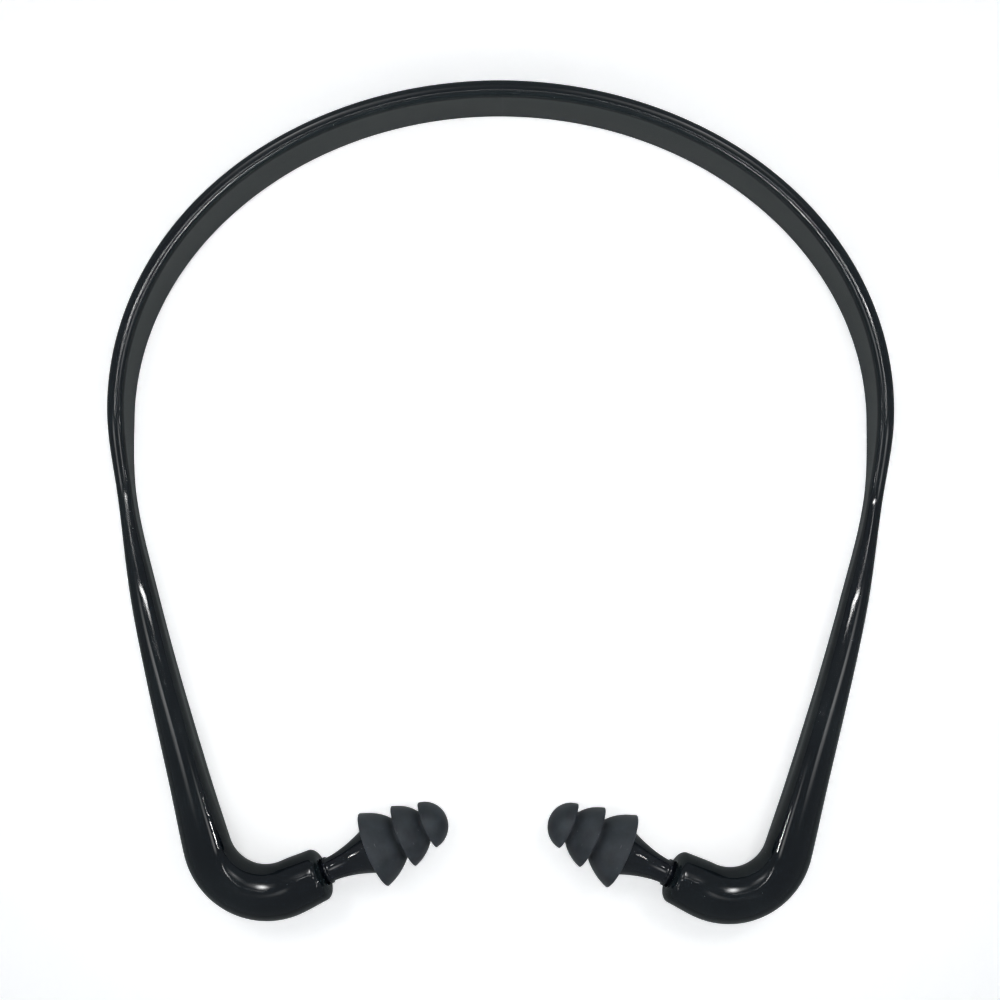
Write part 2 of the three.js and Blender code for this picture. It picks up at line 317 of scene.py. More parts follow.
@dataclass(frozen=True)
class Finish:
    """What every finish shares: its name and the way its patterns are drawn.

    Attributes:
        name: The material's name.
    """

    name: str

    def start(self) -> tuple[bpy.types.Material, bpy.types.NodeTree, bpy.types.NodeSocket]:
        """Makes an empty material that reads the piece's own straight space.

        Returns:
            The material, its node tree, and the socket that gives the place in metres.
        """
        material = bpy.data.materials.new(self.name)
        material.use_nodes = True
        tree = material.node_tree
        tree.nodes.clear()
        place = add_node(tree, "ShaderNodeAttribute", {"attribute_name": "own_place"})
        return material, tree, place.outputs["Vector"]

    def pattern(
        self,
        tree: bpy.types.NodeTree,
        place: bpy.types.NodeSocket,
        grain: float,
        stretch: tuple[float, float, float] = (1, 1, 1),
        detail: float = 2.0,
    ) -> bpy.types.NodeSocket:
        """Draws a cloudy pattern.

        Args:
            tree: The material's node tree.
            place: The socket that gives the place in metres.
            grain: The size of one cloud in millimetres.
            stretch: How many times as long a cloud is along each axis.
            detail: How many finer layers it has.

        Returns:
            The pattern's level, from 0 to 1.
        """
        scale = tuple(1 / (grain * MM * share) for share in stretch)
        mapped = add_node(tree, "ShaderNodeMapping", inputs={"Vector": place, "Scale": scale})
        noise = add_node(
            tree,
            "ShaderNodeTexNoise",
            inputs={"Vector": mapped.outputs["Vector"], "Scale": 1.0, "Detail": detail},
        )
        return noise.outputs["Fac"]

    def between(
        self, tree: bpy.types.NodeTree, level: bpy.types.NodeSocket, start: Row, end: Row
    ) -> bpy.types.NodeSocket:
        """Maps a level from one range onto another, and holds it at the ends.

        Args:
            tree: The material's node tree.
            level: The socket that gives the level.
            start: The level that is read, and what it becomes, at one end.
            end: The same at the other end.

        Returns:
            The socket that gives the mapped value.
        """
        mapped = add_node(
            tree,
            "ShaderNodeMapRange",
            inputs={
                "Value": level,
                "From Min": start[0],
                "From Max": end[0],
                "To Min": start[1],
                "To Max": end[1],
            },
        )
        return mapped.outputs["Result"]


@dataclass(frozen=True)
class GlossMouldedPlastic(Finish):
    """Black ABS, moulded in a polished steel cavity.

    The polish gives sharp mirror-like highlights. The resin shrinks a little as it sets, which leaves a
    faint waviness that makes those highlights wander, and handling leaves soft smudges, hairlines that
    run along the piece, and a duller rub on whatever sticks out.

    Attributes:
        colour: The resin's own colour.
        dull_colour: The colour where it is rubbed or smudged.
        dust_colour: The colour of a speck of dust.
        ior: The plastic's index of refraction.
        polish: Roughness where the cavity's polish is untouched.
        smudged: Roughness in the middle of a smudge.
        smudge_size: Millimetres across one smudge.
        smudge_levels: The levels of the cloudy pattern where a smudge starts and where it is full.
        smudge_dulling: How far a smudge takes the colour towards the dull one.
        rubbed: Roughness that the rub adds.
        wave_size: Millimetres across one shrinkage wave.
        wave_stretch: How many times as long as wide a wave is, along the piece.
        wave_height: Millimetres that a wave stands.
        hairline: Millimetres between hairlines. Real ones are some 0.02 mm wide, too fine to show, so
            they are drawn this coarse.
        hairline_length: How many times as long as wide a hairline is.
        hairline_levels: The levels of its pattern where a hairline starts and where it is full.
        hairline_depth: Millimetres that it is deep.
        hairline_relief: How strongly that depth turns the light.
        scuffed: Roughness that a hairline adds.
        speck: Millimetres between the places where a speck of dust may lie.
        speck_radii: Where a speck starts to fade and where it ends, as shares of that distance.
        speck_levels: The random levels, from 0 to 1, where a place starts to hold a speck and where it
            holds a full one.
    """

    colour: str = "#0D1318"
    dull_colour: str = "#1C2427"
    dust_colour: str = "#7E8683"
    ior: float = 1.53
    polish: float = 0.045
    smudged: float = 0.14
    smudge_size: float = 9.0
    smudge_levels: Row = (0.42, 0.7)
    smudge_dulling: float = 0.45
    rubbed: float = 0.1
    wave_size: float = 5.0
    wave_stretch: float = 2.0
    wave_height: float = 0.012
    hairline: float = 0.16
    hairline_length: float = 60.0
    hairline_levels: Row = (0.6, 0.72)
    hairline_depth: float = 0.004
    hairline_relief: float = 0.12
    scuffed: float = 0.12
    speck: float = 1.1
    speck_radii: Row = (0.05, 0.075)
    speck_levels: Row = (0.93, 0.97)

    def material(self) -> bpy.types.Material:
        """Draws the finish.

        Returns:
            The material.
        """
        material, tree, place = self.start()
        rub = add_node(tree, "ShaderNodeAttribute", {"attribute_name": "rub"}).outputs["Fac"]
        start, full = self.smudge_levels
        clouds = self.pattern(tree, place, self.smudge_size, detail=3.0)
        smudges = self.between(tree, clouds, (start, 0.0), (full, 1.0))
        start, full = self.hairline_levels
        lines = self.pattern(tree, place, self.hairline, (self.hairline_length, 1, 1), 1.0)
        hairlines = self.between(tree, lines, (start, 0.0), (full, 1.0))
        dull = add_node(
            tree,
            "ShaderNodeMath",
            {"operation": "MAXIMUM", "use_clamp": True},
            {0: self.between(tree, smudges, (0.0, 0.0), (1.0, self.smudge_dulling)), 1: rub},
        ).outputs[0]
        resin = add_node(
            tree,
            "ShaderNodeMix",
            {"data_type": "RGBA"},
            {
                "Factor": dull,
                FIRST_COLOUR: linear(self.colour),
                SECOND_COLOUR: linear(self.dull_colour),
            },
        ).outputs[MIXED_COLOUR]
        cells = add_node(
            tree,
            "ShaderNodeTexVoronoi",
            {"feature": "F1"},
            {"Vector": place, "Scale": 1 / (self.speck * MM)},
        )
        solid, gone = self.speck_radii
        near = self.between(tree, cells.outputs["Distance"], (solid, 1.0), (gone, 0.0))
        chosen = add_node(
            tree,
            "ShaderNodeSeparateColor",
            inputs={"Color": cells.outputs["Color"]},
        ).outputs[0]
        start, full = self.speck_levels
        few = self.between(tree, chosen, (start, 0.0), (full, 1.0))
        dust = add_node(tree, "ShaderNodeMath", {"operation": "MULTIPLY"}, {0: near, 1: few}).outputs[0]
        surface = add_node(
            tree,
            "ShaderNodeMix",
            {"data_type": "RGBA"},
            {"Factor": dust, FIRST_COLOUR: resin, SECOND_COLOUR: linear(self.dust_colour)},
        ).outputs[MIXED_COLOUR]
        gloss = self.between(tree, smudges, (0.0, self.polish), (1.0, self.smudged))
        worn = add_node(
            tree,
            "ShaderNodeMath",
            {"operation": "MULTIPLY_ADD"},
            {0: rub, 1: self.rubbed, 2: gloss},
        ).outputs[0]
        roughness = add_node(
            tree,
            "ShaderNodeMath",
            {"operation": "MULTIPLY_ADD", "use_clamp": True},
            {0: hairlines, 1: self.scuffed, 2: worn},
        ).outputs[0]
        waves = add_node(
            tree,
            "ShaderNodeBump",
            inputs={
                "Height": self.pattern(tree, place, self.wave_size, (self.wave_stretch, 1, 1), 1.0),
                "Strength": 1.0,
                "Distance": self.wave_height * MM,
            },
        )
        scratches = add_node(
            tree,
            "ShaderNodeBump",
            inputs={
                "Height": hairlines,
                "Strength": self.hairline_relief,
                "Distance": self.hairline_depth * MM,
                "Normal": waves.outputs["Normal"],
            },
        )
        shader = add_node(
            tree,
            "ShaderNodeBsdfPrincipled",
            inputs={
                "Base Color": surface,
                "Roughness": roughness,
                "IOR": self.ior,
                "Normal": scratches.outputs["Normal"],
            },
        )
        add_node(tree, "ShaderNodeOutputMaterial", inputs={"Surface": shader.outputs["BSDF"]})
        return material


@dataclass(frozen=True)
class MattMouldedSilicone(Finish):
    """Slate-grey silicone rubber, moulded in an etched cavity.

    The etching gives a soft, even sheen with no mirror highlight, and the rubber lets a little light in
    under its skin, so that thin rims look lighter. It is tacky, so that fine lint stays on it.

    Attributes:
        colour: The rubber's own colour.
        pale_colour: The colour where talc and skin oil have dried on it.
        lint_colour: The colour of a fleck of lint.
        ior: Silicone's index of refraction.
        cloud: Millimetres across one patch of talc or oil.
        bloom_levels: The levels of that cloudy pattern where the pale colour starts and where it is full.
        smooth: Roughness where fingers have polished it.
        matt: Roughness of the etched skin.
        matt_levels: The levels of the same pattern where the skin is smooth and where it is matt.
        lint: Millimetres across one fleck of lint.
        lint_length: How many times as long as wide a fleck is.
        lint_levels: The levels of its pattern where a fleck starts and where it is full.
        lint_cover: How much of the rubber's colour a fleck hides.
        sheen: How strongly the etched skin's sheen shows at a slant.
        sheen_roughness: How wide that sheen is.
        etch: Millimetres across one grain of the etching. The real grain is some 0.05 mm, too fine to
            show, so it is drawn this coarse.
        etch_height: Millimetres that a grain stands.
        glow: How much of the light goes in under the skin.
        depth: Millimetres that it travels there.
    """

    colour: str = "#2D3137"
    pale_colour: str = "#42484D"
    lint_colour: str = "#8C8F90"
    ior: float = 1.42
    cloud: float = 3.5
    bloom_levels: Row = (0.35, 0.75)
    smooth: float = 0.42
    matt: float = 0.6
    matt_levels: Row = (0.35, 0.65)
    lint: float = 0.2
    lint_length: float = 7.0
    lint_levels: Row = (0.76, 0.79)
    lint_cover: float = 0.45
    sheen: float = 0.12
    sheen_roughness: float = 0.5
    etch: float = 0.14
    etch_height: float = 0.006
    glow: float = 0.08
    depth: float = 0.6

    def material(self) -> bpy.types.Material:
        """Draws the finish.

        Returns:
            The material.
        """
        material, tree, place = self.start()
        clouds = self.pattern(tree, place, self.cloud, detail=3.0)
        start, full = self.bloom_levels
        bloom = self.between(tree, clouds, (start, 0.0), (full, 1.0))
        rubber = add_node(
            tree,
            "ShaderNodeMix",
            {"data_type": "RGBA"},
            {
                "Factor": bloom,
                FIRST_COLOUR: linear(self.colour),
                SECOND_COLOUR: linear(self.pale_colour),
            },
        ).outputs[MIXED_COLOUR]
        fibres = self.pattern(tree, place, self.lint, (self.lint_length, 1, 1), 1.0)
        start, full = self.lint_levels
        flecks = self.between(tree, fibres, (start, 0.0), (full, self.lint_cover))
        surface = add_node(
            tree,
            "ShaderNodeMix",
            {"data_type": "RGBA"},
            {"Factor": flecks, FIRST_COLOUR: rubber, SECOND_COLOUR: linear(self.lint_colour)},
        ).outputs[MIXED_COLOUR]
        smooth, matt = self.matt_levels
        grain = add_node(
            tree,
            "ShaderNodeBump",
            inputs={
                "Height": self.pattern(tree, place, self.etch, detail=2.0),
                "Strength": 1.0,
                "Distance": self.etch_height * MM,
            },
        )
        shader = add_node(
            tree,
            "ShaderNodeBsdfPrincipled",
            inputs={
                "Base Color": surface,
                "Roughness": self.between(tree, clouds, (smooth, self.smooth), (matt, self.matt)),
                "IOR": self.ior,
                "Subsurface Weight": self.glow,
                "Subsurface Scale": self.depth * MM,
                "Sheen Weight": self.sheen,
                "Sheen Roughness": self.sheen_roughness,
                "Normal": grain.outputs["Normal"],
            },
        )
        add_node(tree, "ShaderNodeOutputMaterial", inputs={"Surface": shader.outputs["BSDF"]})
        return material


@dataclass(frozen=True)
class StudioPaper(Finish):
    """Uncoated white paper, which gives an even matt ground.

    The black plastic would mirror so much of it that it looked grey, so the pieces see a darker copy of the
    paper than the camera does, as a studio does with black card. That darker copy is painted shade in their
    reflections.

    Attributes:
        colour: The paper's colour.
        mirrored_colour: The painted-shade colour of the paper that the pieces see.
        glow: How much light comes through the paper from below.
        mirrored_glow: How much of the glow the painted-shade copy keeps.
        roughness: Of its uncoated face.
        fibre: Millimetres across one fibre clump.
        fibre_height: Millimetres that a clump stands.
        relief: How strongly that height turns the light.
    """

    colour: str = "#F8F8F8"
    mirrored_colour: str = "#979B9A"
    glow: float = 0.6
    mirrored_glow: float = 0.12
    roughness: float = 0.9
    fibre: float = 0.8
    fibre_height: float = 0.02
    relief: float = 0.2

    def material(self) -> bpy.types.Material:
        """Draws the finish.

        Returns:
            The material.
        """
        material, tree, _ = self.start()
        place = add_node(tree, "ShaderNodeTexCoord").outputs["Object"]
        bump = add_node(
            tree,
            "ShaderNodeBump",
            inputs={
                "Height": self.pattern(tree, place, self.fibre),
                "Strength": self.relief,
                "Distance": self.fibre_height * MM,
            },
        )
        # The camera sees the bright paper, and the pieces see the darker copy, which is painted shade in
        # their reflections.
        seen, mirrored = (
            add_node(
                tree,
                "ShaderNodeBsdfPrincipled",
                inputs={
                    "Base Color": linear(colour),
                    "Roughness": self.roughness,
                    "Emission Color": linear(colour),
                    "Emission Strength": glow,
                    "Normal": bump.outputs["Normal"],
                },
            )
            for colour, glow in (
                (self.colour, self.glow),
                (self.mirrored_colour, self.mirrored_glow),
            )
        )
        path = add_node(tree, "ShaderNodeLightPath")
        both = add_node(
            tree,
            "ShaderNodeMixShader",
            inputs={0: path.outputs["Is Camera Ray"], 1: mirrored.outputs[0], 2: seen.outputs[0]},
        )
        add_node(tree, "ShaderNodeOutputMaterial", inputs={"Surface": both.outputs[0]})
        return material


# ---------------------------------------------------------------------------------------------
# The band
# ---------------------------------------------------------------------------------------------


@dataclass(frozen=True)
class Station:
    """One place on the band's centre line, in millimetres.

    Attributes:
        s: How far it is along the line from the middle of the crown.
        point: Where it is, seen from above.
        heading: The unit direction of the line there.
    """

    s: float
    point: Vector
    heading: Vector


@dataclass(frozen=True)
class BandLine:
    """The centre line of the right-hand half of the band, seen from above, in millimetres.

    Its own origin is the middle of the crown's ellipse. The crown is a quarter of that ellipse, the arm
    a curve that leans in, the elbow an arc, and the socket straight.

    Attributes:
        half_span: The ellipse's half-axis across.
        rise: Its half-axis up to the crown.
        arm_drop: From the widest point to the elbow, along Y.
        arm_inset: How far the arm comes in over that drop.
        arm_lean: Degrees that the arm leans in where it meets the elbow.
        upper_pull: How long the arm holds its first direction.
        lower_pull: How long it holds its last one.
        elbow_radius: Of the centre line round the elbow.
        socket_rise: Degrees that a plug points back up towards the crown.
        socket_length: From the elbow to the socket's mouth.
        split_angle: Degrees round the ellipse from the crown's middle to the flexing place.
        fine: Samples along each stretch.
    """

    half_span: float = 73.8
    rise: float = 61.7
    arm_drop: float = 84.4
    arm_inset: float = 16.9
    arm_lean: float = 15.4
    upper_pull: float = 18.0
    lower_pull: float = 39.0
    elbow_radius: float = 11.9
    socket_rise: float = 25.0
    socket_length: float = 7.2
    split_angle: float = 38.0
    fine: int = 600

    def crown(self, share: float) -> tuple[Vector, Vector]:
        """The point and direction a share of the way round the crown's quarter ellipse."""
        angle = share * math.pi / 2
        point = Vector((self.half_span * math.sin(angle), self.rise * math.cos(angle)))
        return point, Vector((self.half_span * math.cos(angle), -self.rise * math.sin(angle)))

    def arm(self, share: float) -> tuple[Vector, Vector]:
        """The point and direction a share of the way down the arm."""
        end, lean = self.elbow_start
        ends = [
            Vector((self.half_span, 0)),
            Vector((self.half_span, -self.upper_pull)),
            end - lean * self.lower_pull,
            end,
        ]
        t, back = share, 1 - share
        weights = (back**3, 3 * t * back**2, 3 * t**2 * back, t**3)
        point = sum((p * w for p, w in zip(ends, weights)), Vector((0, 0)))
        legs = [b - a for a, b in zip(ends, ends[1:])]
        heading = legs[0] * back**2 + legs[1] * 2 * t * back + legs[2] * t**2
        return point, heading

    def elbow(self, share: float) -> tuple[Vector, Vector]:
        """The point and direction a share of the way round the elbow."""
        start, lean = self.elbow_start
        centre = start + Vector((lean.y, -lean.x)) * self.elbow_radius
        angle = math.radians(lerp(-self.arm_lean, -90 - self.socket_rise, share))
        out = Vector((math.cos(angle), math.sin(angle)))
        return centre + out * self.elbow_radius, Vector((out.y, -out.x))

    def socket(self, share: float) -> tuple[Vector, Vector]:
        """The point and direction a share of the way along the socket."""
        start, heading = self.elbow(1.0)
        return start + heading * self.socket_length * share, heading

    @property
    def elbow_start(self) -> tuple[Vector, Vector]:
        """Where the arm meets the elbow, and the direction there."""
        lean = math.radians(self.arm_lean)
        point = Vector((self.half_span - self.arm_inset, -self.arm_drop))
        return point, Vector((-math.sin(lean), -math.cos(lean)))

    @cached_property
    def traced(self) -> tuple[list[Station], list[float]]:
        """Stations close together along the whole line, and where each of its four stretches ends."""
        made: list[Station] = []
        ends = []
        for stretch in (self.crown, self.arm, self.elbow, self.socket):
            for i in range(1 if made else 0, self.fine + 1):
                point, heading = stretch(i / self.fine)
                s = made[-1].s + (point - made[-1].point).length if made else 0.0
                made.append(Station(s, point, heading.normalized()))
            ends.append(made[-1].s)
        return made, ends

    @property
    def ends(self) -> list[float]:
        """Where the crown, the arm, the elbow and the socket end along the line."""
        return self.traced[1]

    def at(self, s: float) -> Station:
        """Finds the place at s.

        Args:
            s: How far along the line, from the middle of the crown.

        Returns:
            The station there.
        """
        marks = self.traced[0]
        i = min(max(bisect_right(marks, s, key=lambda mark: mark.s) - 1, 0), len(marks) - 2)
        before, after = marks[i], marks[i + 1]
        share = (s - before.s) / (after.s - before.s)
        heading = before.heading.lerp(after.heading, share).normalized()
        return Station(s, before.point.lerp(after.point, share), heading)

    @cached_property
    def split(self) -> float:
        """How far along the line the flexing place is."""
        share = self.split_angle / 90
        goal = self.crown(share)[0]
        return min(self.traced[0], key=lambda mark: (mark.point - goal).length).s


@dataclass(frozen=True)
class BandSection:
    """The band's cross-section along its line: a rectangle with round corners, in millimetres.

    The crown is a flat strip stood on edge. It narrows at the temples into a thin oval rod, which swells
    down the arm into the round elbow.

    Attributes:
        line: The centre line that it follows.
        corner: Rounding of the crown's four long edges.
        least_flat: The flat that a round section keeps on each side.
        arc_points: Points round each corner.
        hold: How far from a corner a flat is held flat.
        strip: The crown's thickness and width.
        temple_width: Width where the crown ends.
        waist: How far below the crown's end the band is thinnest, its thickness and its width there.
        shin: The same at the end of the thin stretch.
        knee: The same two thirds of the way down the arm.
        ankle_diameter: Where the arm meets the elbow.
        elbow_diameter: Where the elbow meets the socket.
        socket_diameter: At the socket's mouth.
        ridge_shift: How far towards the inside of the U the arm's highest line lies, above the elbow.
    """

    line: BandLine
    corner: float = 1.45
    least_flat: float = 0.1
    arc_points: int = 11
    hold: float = 0.25
    strip: Row = (3.2, 15.0)
    temple_width: float = 9.8
    waist: tuple[float, float, float] = (16.0, 2.9, 5.2)
    shin: tuple[float, float, float] = (36.0, 4.9, 6.6)
    knee: tuple[float, float, float] = (72.0, 7.4, 8.6)
    ankle_diameter: float = 9.2
    elbow_diameter: float = 10.9
    socket_diameter: float = 10.2
    ridge_shift: float = 1.0

    @cached_property
    def rows(self) -> tuple[list[Row], list[Row]]:
        """The thickness and the width at each named place along the line."""
        crown_end, arm_end, elbow_end, line_end = self.line.ends
        drops = [(crown_end + drop, thick, wide) for drop, thick, wide in (self.waist, self.shin, self.knee)]
        round_rows = [
            (arm_end, self.ankle_diameter),
            (elbow_end, self.elbow_diameter),
            (line_end, self.socket_diameter),
        ]
        thickness = [(0.0, self.strip[0]), (crown_end, self.strip[0])]
        width = [(0.0, self.strip[1]), (self.line.split, self.strip[1]), (crown_end, self.temple_width)]
        thickness += [(s, thick) for s, thick, _ in drops] + round_rows
        width += [(s, wide) for s, _, wide in drops] + round_rows
        return thickness, width

    @cached_property
    def ridge(self) -> list[Row]:
        """How much of the ridge's shift there is at each named place along the line."""
        crown_end, arm_end, elbow_end, _ = self.line.ends
        shin, knee = self.shin[0], self.knee[0]
        return [(crown_end + shin, 0.0), (crown_end + knee, 1.0), (arm_end, 1.0), (elbow_end, 0.0)]

    def outline(self, s: float, inset: float = 0.0) -> list[tuple[float, float, float]]:
        """Draws the section at s.

        Args:
            s: How far along the line.
            inset: How far the whole outline is drawn in.

        Returns:
            For each point, how far out of the U it lies, how far up, and how sharp the corner is there.
        """
        thickness, width = self.rows
        half, tall = along(thickness, s) / 2 - inset, along(width, s) / 2 - inset
        waist = self.line.ends[0] + self.waist[0]
        rounding = smoothstep(s, self.line.split, waist)
        shift = -self.ridge_shift * along(self.ridge, s)
        corner = lerp(self.corner, min(half, tall) - self.least_flat / 2, rounding)
        points = []
        for quarter in range(4):
            right = 1 if quarter in (0, 3) else -1
            top = 1 if quarter < 2 else -1
            for i in range(self.arc_points):
                share = i / (self.arc_points - 1)
                angle = (quarter + share) * math.pi / 2
                x = right * (half - corner) + corner * math.cos(angle)
                z = top * (tall - corner) + corner * math.sin(angle)
                points.append((x + shift * (z / tall) ** 2, z, (1 - rounding) * math.sin(math.pi * share)))
            flat = 2 * (half - corner if quarter % 2 == 0 else tall - corner)
            hold = min(self.hold, flat / 3)
            turn = (quarter + 1) * math.pi / 2
            for gone in (hold, flat - hold):
                away, down = x - gone * math.sin(turn), z + gone * math.cos(turn)
                points.append((away + shift * (down / tall) ** 2, down, 0.0))
        return points


@dataclass
class Headband:
    """The springy band with its elbows and sockets, one moulding.

    It is made as two halves that meet edge to edge at the middle of the crown, each running from the crown
    to its arm and socket. Sizes are in millimetres.

    Attributes:
        finish: The plastic's finish.
        line: The centre line.
        ring_step: Between rings along the band.
        first_step: Between the first two rings, close enough that the halves meet with one shading.
        rim_depth: Rounding of the socket's rim, along the plug.
        rim_lip: Flat ring between that rounding and the bore.
        rim_steps: Steps round that rounding.
        bore_radius: Of the socket, round the stem's shank.
        bore_edge: Rounding of the bore's mouth.
        bore_depth: From the mouth to the bore's floor.
        groove: Middle, half width and depth of the groove that the stem's bead clicks into.
        flex_start: Where the bend into an arm starts, for the right-hand side. Not used.
        flex_end: Where it ends. Not used.
    """

    finish: GlossMouldedPlastic
    line: BandLine = BandLine()
    ring_step: float = 0.7
    first_step: float = 0.05
    rim_depth: float = 1.5
    rim_lip: float = 0.45
    rim_steps: int = 10
    bore_radius: float = 2.65
    bore_edge: float = 0.12
    bore_depth: float = 8.8
    groove: tuple[float, float, float] = (4.6, 0.9, 0.55)
    flex_start: Row = (11.7, 93.0)
    flex_end: Row = (91.4, 34.2)

    @cached_property
    def section(self) -> BandSection:
        """The cross-section along the band."""
        return BandSection(self.line)

    def rings(self) -> list[tuple[float, float]]:
        """Lists how far along the line, and how far drawn in, each ring of the outside is."""
        rim_start = self.line.ends[-1] - self.rim_depth
        steps = round(rim_start / self.ring_step)
        places = [(0.0, 0.0), (self.first_step, 0.0)]
        places += [(rim_start * i / steps, 0.0) for i in range(1, steps)]
        inset = self.section.socket_diameter / 2 - self.bore_radius - self.rim_lip
        for i in range(self.rim_steps + 1):
            angle = i / self.rim_steps * math.pi / 2
            places.append((rim_start + self.rim_depth * math.sin(angle), inset * (1 - math.cos(angle))))
        return places

    def bore(self) -> list[Row]:
        """Lists the radius and the height above the mouth of each ring of the bore, going in."""
        middle, half, depth = self.groove
        wall, wide = self.bore_radius, self.bore_radius + depth
        return [
            (wall + self.bore_edge, 0.0),
            (wall + self.bore_edge * BEND_SHARE, -self.bore_edge * BEND_SHARE),
            (wall, -self.bore_edge),
            (wall, -middle + half + depth),
            (wide, -middle + half),
            (wide, -middle - half),
            (wall, -middle - half - depth),
            (wall, -self.bore_depth),
        ]

    def half(self, side: Side) -> RingMesh:
        """Makes one half of the band.

        Args:
            side: Which half.

        Returns:
            The closed surface, from the crown's middle to the bottom of the socket's bore.
        """
        mouth, axis = side.swivel()
        end = self.line.at(self.line.ends[-1])
        shift = Vector((abs(mouth.x) / MM, mouth.y / MM)) - end.point
        middle = mouth.z / MM
        mesh, rings, mouth_angles = RingMesh(), [], []
        for s, inset in self.rings():
            station = self.line.at(s)
            out = Vector((-station.heading.y, station.heading.x))
            outline = self.section.outline(s, inset)
            ring = []
            for across, up, sharp in outline:
                flat = station.point + shift + out * across
                point = Vector((side.value * flat.x, flat.y, middle + up)) * MM
                rub = max(sharp, min(1.0, inset))
                ring.append(mesh.corner(point, Vector((side.value * s, across, up)) * MM, rub))
            rings.append(ring)
            mouth_angles = [math.atan2(up, across) for across, up, _ in outline]
        up_axis = Vector((0, 0, 1))
        out_axis = Vector((-axis.y, axis.x, 0)) * side.value
        for radius, height in self.bore():
            ring = []
            for angle in mouth_angles:
                x, z = radius * math.cos(angle), radius * math.sin(angle)
                point = mouth + (out_axis * x + up_axis * z + axis * height) * MM
                place = Vector((side.value * (end.s - height), x, z)) * MM
                ring.append(mesh.corner(point, place))
            rings.append(ring)
        floor = mesh.corner(mouth - axis * self.bore_depth * MM, Vector((side.value * end.s, 0, 0)) * MM)
        rings.append([floor])
        mesh.faces.append(tuple(rings[0]))
        for ring, following in zip(rings, rings[1:]):
            mesh.bridge(following, ring)
        return mesh

    def build(self) -> list[bpy.types.Object]:
        """Makes both halves, dresses them and hides the frame's parts that they stand for.

        Returns:
            The two halves.
        """
        material = self.finish.material()
        made = []
        for side in Side:
            half = self.half(side).piece(f"headband_{side.word}", material, side is Side.LEFT)
            height = side.swivel()[0].z
            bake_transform(half)
            stands_for = [f"band_arm_{side.word}"] + (["band_crown"] if side is Side.RIGHT else [])
            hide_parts(*stands_for)
            made.append(half)
        return made


# ---------------------------------------------------------------------------------------------
# The plugs
# ---------------------------------------------------------------------------------------------


@dataclass
class Stem:
    """A glossy stem: shank and snap bead in the socket, collar, flare, and barbed peg in the tip.

    Sizes are in millimetres, and heights are above the socket's mouth.

    Attributes:
        finish: The plastic's finish.
        neck: Radius of the shank and the neck.
        shank: How deep the shank goes.
        chamfer: On the ends of the shank and the peg.
        bead: Depth of the snap bead's middle, its half width and its height above the shank.
        collar: Start, width and height above the neck of the collar.
        collar_turns: Radians round the collar's lip at each of its corners.
        crease: Height and length of the small slope at the collar's foot.
        flare: Radius of the front face that the tip seats on.
        flare_power: How late the stem flares out.
        flare_steps: Steps along the flare.
        flare_end: How far below the face the flare's curve ends.
        face_edge: How far in, and how far below the face, each corner of its rounded edge is.
        front: Height of that face.
        peg: Radius and length of the peg.
        barbs: How many barbs it has, their height, and their length.
        barb_crest: Where a barb's crest starts and ends above its foot.
    """

    finish: GlossMouldedPlastic
    neck: float = 2.35
    shank: float = 8.5
    chamfer: float = 0.5
    bead: tuple[float, float, float] = (4.6, 0.6, 0.55)
    collar: tuple[float, float, float] = (0.3, 0.9, 0.3)
    collar_turns: tuple[float, ...] = (0.5, 1.0, math.pi / 2)
    crease: Row = (0.02, 0.05)
    flare: float = 5.3
    flare_power: float = 1.7
    flare_steps: int = 28
    flare_end: float = 0.2
    face_edge: tuple[Row, ...] = ((0.03, 0.08), (0.15, 0.0))
    front: float = 11.8
    peg: Row = (1.9, 8.4)
    barbs: tuple[int, float, float] = (2, 0.45, 1.8)
    barb_crest: Row = (0.3, 0.4)

    def profile(self) -> list[Row]:
        """Lists the stem's radius and height, from the bottom of the shank to the end of the peg."""
        depth, half, bump = self.bead
        start, width, lip = self.collar
        end = start + width
        lift, run_up = self.crease
        round_lip = [(lip * (1 - math.cos(a)), lip * math.sin(a) / 2) for a in self.collar_turns]
        rows = [
            (0.0, -self.shank),
            (self.neck - self.chamfer, -self.shank),
            (self.neck, -self.shank + self.chamfer),
            (self.neck, -depth - half - bump),
            (self.neck + bump, -depth - half / 2),
            (self.neck + bump, -depth + half / 2),
            (self.neck, -depth + half + bump),
            (self.neck, start - run_up),
            (self.neck + lift, start),
        ]
        rows += [(self.neck + r, start + h) for r, h in round_lip]
        rows += [(self.neck + r, end - h) for r, h in reversed(round_lip)]
        rows += [(self.neck + lift, end), (self.neck, end + run_up)]
        for i in range(1, self.flare_steps + 1):
            t = i / self.flare_steps
            radius = lerp(self.neck, self.flare, t**self.flare_power)
            rows.append((radius, lerp(end, self.front - self.flare_end, t)))
        rows += [(self.flare - gone, self.front - below) for gone, below in self.face_edge]
        radius, length = self.peg
        count, height, run = self.barbs
        crest_start, crest_end = self.barb_crest
        pitch = length / (count + 0.5)
        rows.append((radius, self.front))
        for i in range(1, count + 1):
            foot = self.front + i * pitch - run / 2
            rows += [
                (radius, foot),
                (radius + height, foot + crest_start),
                (radius + height, foot + crest_end),
                (radius, foot + run),
            ]
        top = self.front + length
        rows += [(radius, top - self.chamfer), (radius - self.chamfer, top), (0.0, top)]
        return rows

    def build(self) -> list[bpy.types.Object]:
        """Makes both stems and dresses them.

        Returns:
            The two stems.
        """
        material = self.finish.material()
        made = []
        for side in Side:
            mesh = Lathe(side).turn(self.profile())
            stem = mesh.piece(f"plug_stem_{side.word}", material, side is Side.LEFT)
            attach(stem, f"plug_{side.word}")
            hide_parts(f"stem_{side.word}")
            made.append(stem)
        return made


